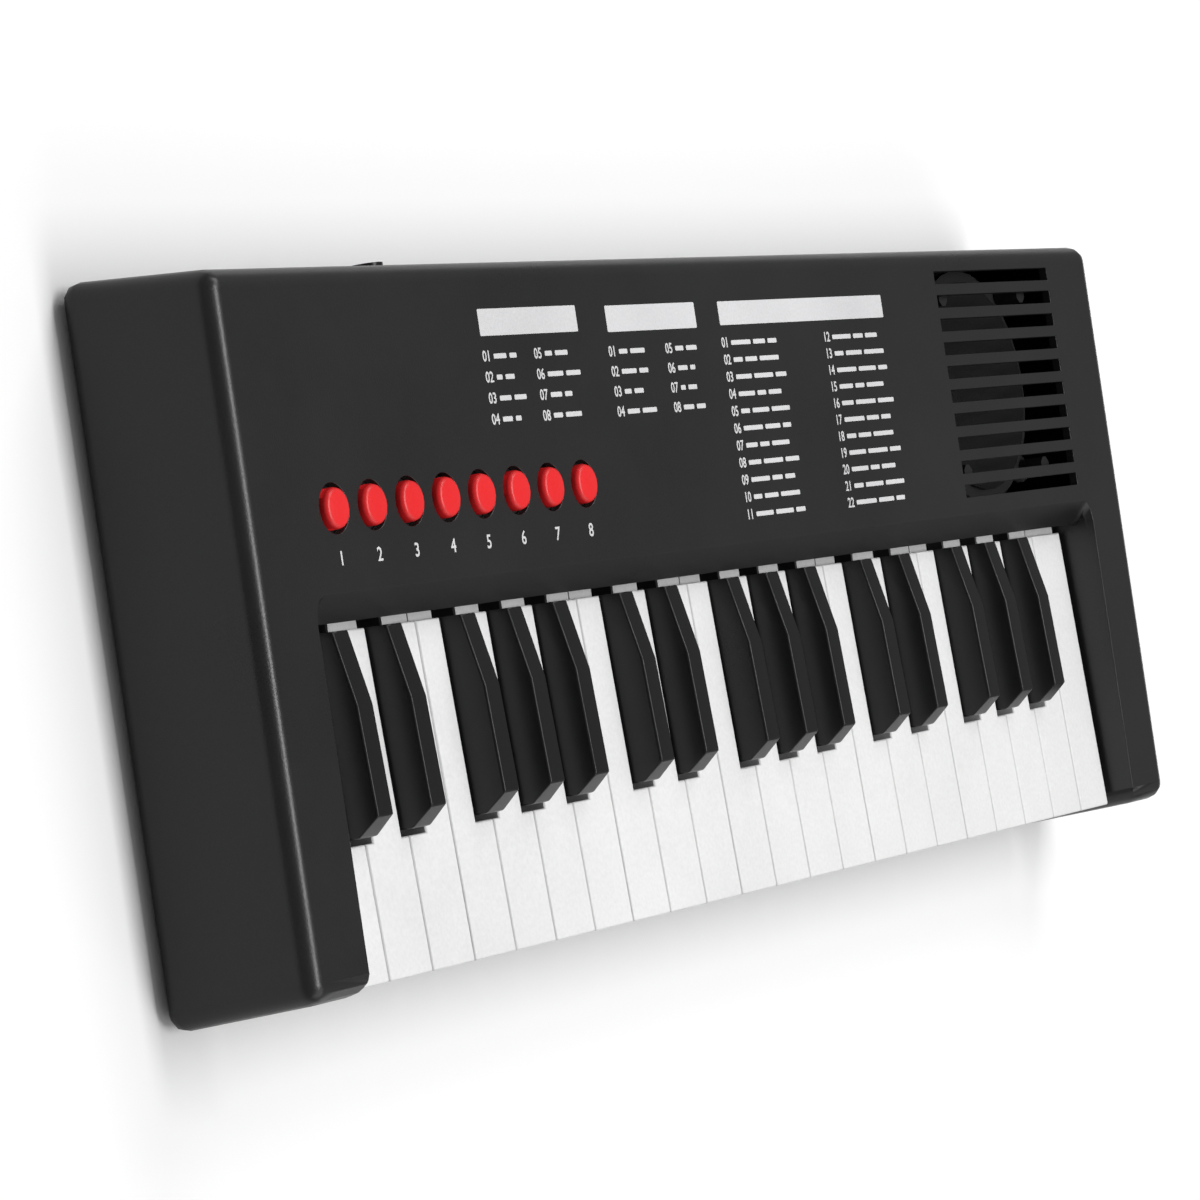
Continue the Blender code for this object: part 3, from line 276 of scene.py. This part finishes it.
# The eight push buttons are glossy red caps that stand a little out of their holes.
# Below a set height each cap is painted near-black, a painted shade for the gap round the cap.
button_red = moulded_look("button_red", (0.80, 0.014, 0.016), (0.88, 0.020, 0.024), (0.32, 0.40), 1600.0, 0.1)
red_nodes, red_links = button_red.node_tree.nodes, button_red.node_tree.links
red_place = red_nodes.new("ShaderNodeTexCoord")
red_height = red_nodes.new("ShaderNodeSeparateXYZ")
# Painted shade: this mask turns the cap near-black below the panel, where the gap round it lies in shade.
gap_shade_mask = red_nodes.new("ShaderNodeMapRange")
gap_shade_mask.inputs["From Min"].default_value = panel_z - 0.0024
gap_shade_mask.inputs["From Max"].default_value = panel_z - 0.0016
red_cap_with_gap_shade = red_nodes.new("ShaderNodeMix")
red_cap_with_gap_shade.data_type = "RGBA"
red_cap_with_gap_shade.inputs["A"].default_value = (0.010, 0.010, 0.011, 1.0)
red_shader = red_nodes["Principled BSDF"]
red_links.new(red_place.outputs["Object"], red_height.inputs["Vector"])
red_links.new(red_height.outputs["Z"], gap_shade_mask.inputs["Value"])
red_links.new(gap_shade_mask.outputs["Result"], red_cap_with_gap_shade.inputs["Factor"])
red_links.new(red_shader.inputs["Base Color"].links[0].from_socket, red_cap_with_gap_shade.inputs["B"])
red_links.new(red_cap_with_gap_shade.outputs["Result"], red_shader.inputs["Base Color"])
for body in sorted(frame["bodies"]):
    if body.endswith("_button"):
        finished(body, body, button_red)

# Inside the case: the grey key frame, felt strip, boards, silicone pads and the speaker. Little of
# them is seen except the speaker through the grille and the battery contacts in their bay.
inner_looks = {
    "key_frame": moulded_look("frame_grey", (0.22, 0.22, 0.23), (0.27, 0.27, 0.28), (0.5, 0.6)),
    "key_stop_felt": moulded_look("felt_red", (0.28, 0.02, 0.02), (0.38, 0.04, 0.04), (0.9, 1.0), 1200.0, 1.0),
    "key_contact_board": moulded_look("board_green", (0.04, 0.19, 0.08), (0.06, 0.24, 0.10), (0.35, 0.5)),
    "key_dome_strip": moulded_look("silicone_grey", (0.50, 0.50, 0.48), (0.58, 0.58, 0.56), (0.5, 0.65)),
    "speaker_frame": moulded_look("speaker_steel", (0.05, 0.05, 0.052), (0.08, 0.08, 0.083), (0.4, 0.55), metallic=0.4),
    "speaker_cone": moulded_look("cone_paper", (0.006, 0.006, 0.006), (0.012, 0.012, 0.012), (0.8, 0.95), 900.0, 0.8),
    "speaker_magnet": moulded_look("magnet_grey", (0.07, 0.07, 0.075), (0.1, 0.1, 0.105), (0.45, 0.6)),
    "battery_spring_plate": moulded_look("contact_sheet", (0.62, 0.62, 0.6), (0.75, 0.75, 0.72), (0.2, 0.35),
                                         900.0, 0.1, 1.0),
}
inner_looks["control_board"] = inner_looks["key_contact_board"]
inner_looks["button_pad"] = inner_looks["key_dome_strip"]
inner_looks["battery_tab_plate"] = inner_looks["battery_spring_plate"]
inner_looks["power_jack"] = key_black
for node, look in inner_looks.items():
    finished(node, "case", look)

# The print on the panel is a thin silver-white ink. Plain bars stand where the headings are, with
# rows of plain dashes for the lists and a number under each button.
ink = moulded_look("panel_ink", (0.62, 0.62, 0.63), (0.72, 0.72, 0.73), (0.45, 0.6), 1500.0, 0.1)
ink_thickness = 0.00004
panel_left = -0.1855
panel_front = -0.073875


def panel_text(words, name, x_mm, y_mm, height_mm, align="CENTER"):
    """Printed characters at a place on the panel, as a thin mesh."""
    bpy.ops.object.select_all(action="DESELECT")
    bpy.ops.object.text_add(location=(panel_left + x_mm / 1000, panel_front + y_mm / 1000, panel_z + ink_thickness))
    text = bpy.context.object
    text.data.body = words
    text.data.size = height_mm / 1000 / 0.72
    text.data.extrude = ink_thickness / 2
    text.data.offset = 0.00006
    text.data.align_x = align
    text.data.align_y = "CENTER"
    text.data.resolution_u = 3
    bpy.ops.object.convert(target="MESH")
    bpy.ops.object.transform_apply(location=True, rotation=True, scale=True)
    text.name = name
    text.data.materials.clear()
    text.data.materials.append(ink)
    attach(text, "case")
    return text


def panel_bar(name, x_mm, y_mm, radius_mm=0.35):
    """A printed bar with rounded corners between two corners on the panel."""
    bpy.ops.object.select_all(action="DESELECT")
    middle_x = panel_left + sum(x_mm) / 2000
    middle_y = panel_front + sum(y_mm) / 2000
    bpy.ops.mesh.primitive_cube_add(size=1.0, location=(middle_x, middle_y, panel_z + ink_thickness))
    bar = bpy.context.object
    bar.scale = ((x_mm[1] - x_mm[0]) / 1000, (y_mm[1] - y_mm[0]) / 1000, ink_thickness)
    bpy.ops.object.transform_apply(location=True, rotation=True, scale=True)
    bar.name = name
    corners = bar.modifiers.new("corners", "BEVEL")
    corners.width = radius_mm / 1000
    corners.segments = 3
    corners.limit_method = "WEIGHT"
    weights = bar.data.attributes.new("bevel_weight_edge", "FLOAT", "EDGE")
    for edge in bar.data.edges:
        ends = [bar.data.vertices[i].co for i in edge.vertices]
        weights.data[edge.index].value = 1.0 if abs(ends[0].z - ends[1].z) > ink_thickness / 2 else 0.0
    bpy.ops.object.modifier_apply(modifier=corners.name)
    bar.data.materials.append(ink)
    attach(bar, "case")
    return bar


panel_bar("print_heading_left", (77.9, 119.4), (131.9, 137.8))
panel_bar("print_heading_middle", (132.4, 173.4), (131.4, 137.4))
panel_bar("print_heading_right", (184.6, 268.0), (131.7, 137.3))
for number in range(8):
    panel_text(str(number + 1), "print_button_%d" % (number + 1), 11.5 + 14.4 * number, 87.5, 3.0)
lists = (("a", 77.5, 127.4, 4, 4.6, 0, 13.0), ("b", 99.0, 127.4, 4, 4.6, 4, 17.0),
         ("c", 131.4, 126.9, 4, 4.56, 0, 16.0), ("d", 157.2, 126.9, 4, 4.56, 4, 12.0),
         ("e", 184.0, 127.5, 11, 4.06, 0, 34.0), ("f", 234.9, 127.5, 11, 4.06, 11, 38.0))
for letter, x, top, rows, pitch, first, width in lists:
    for row in range(rows):
        y = top - row * pitch
        panel_text("%02d" % (first + row + 1), "print_list_%s%02d" % (letter, row + 1), x, y, 2.4, "LEFT")
        start = x + 4.6
        for block in range(2 if width < 20.0 else 3):
            length = width * (0.30 + 0.12 * math.sin(2.4 * row + 1.7 * block + x)) / (1.0 if width < 20.0 else 1.5)
            panel_bar("print_dash_%s%02d_%d" % (letter, row + 1, block), (start, start + length),
                      (y - 0.55, y + 0.55), 0.3)
            start += length + 1.3

# Six countersunk steel screws hold the base plate to the posts of the upper case. Their heads lie in
# wells in the base plate.
screw_steel = moulded_look("screw_steel", (0.35, 0.35, 0.36), (0.45, 0.45, 0.46), (0.25, 0.4), 800.0, 0.1, 1.0)
screw_y_front, screw_y_back = case_low.y + 0.01353, case_high.y - 0.01353
screw_x = case_high.x - 0.01368
screw_spots = [(-screw_x, screw_y_front), (screw_x, screw_y_front), (-screw_x, screw_y_back),
               (screw_x, screw_y_back), (-0.060, screw_y_back), (0.020, screw_y_back)]
for index, (x, y) in enumerate(screw_spots):
    bpy.ops.object.select_all(action="DESELECT")
    bpy.ops.mesh.primitive_cylinder_add(vertices=28, radius=0.0027, depth=0.0007, location=(x, y, 0.00158))
    screw = bpy.context.object
    screw.name = "case_screw_%d" % (index + 1)
    bpy.ops.object.transform_apply(location=True, rotation=True, scale=True)
    for turn, (half_x, half_y) in enumerate(((0.0016, 0.0003), (0.0003, 0.0016))):
        bpy.ops.mesh.primitive_cube_add(size=1.0, location=(x, y, 0.0012))
        cutter = bpy.context.object
        cutter.scale = (half_x * 2, half_y * 2, 0.0007)
        bpy.ops.object.transform_apply(location=True, rotation=True, scale=True)
        bpy.ops.object.select_all(action="DESELECT")
        screw.select_set(True)
        bpy.context.view_layer.objects.active = screw
        cross = screw.modifiers.new("cross", "BOOLEAN")
        cross.operation = "DIFFERENCE"
        cross.solver = "EXACT"
        cross.object = cutter
        bpy.ops.object.modifier_apply(modifier=cross.name)
        bpy.data.objects.remove(cutter)
    bpy.ops.object.shade_smooth_by_angle(angle=math.radians(30.0))
    screw.data.materials.clear()
    screw.data.materials.append(screw_steel)
    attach(screw, "case")
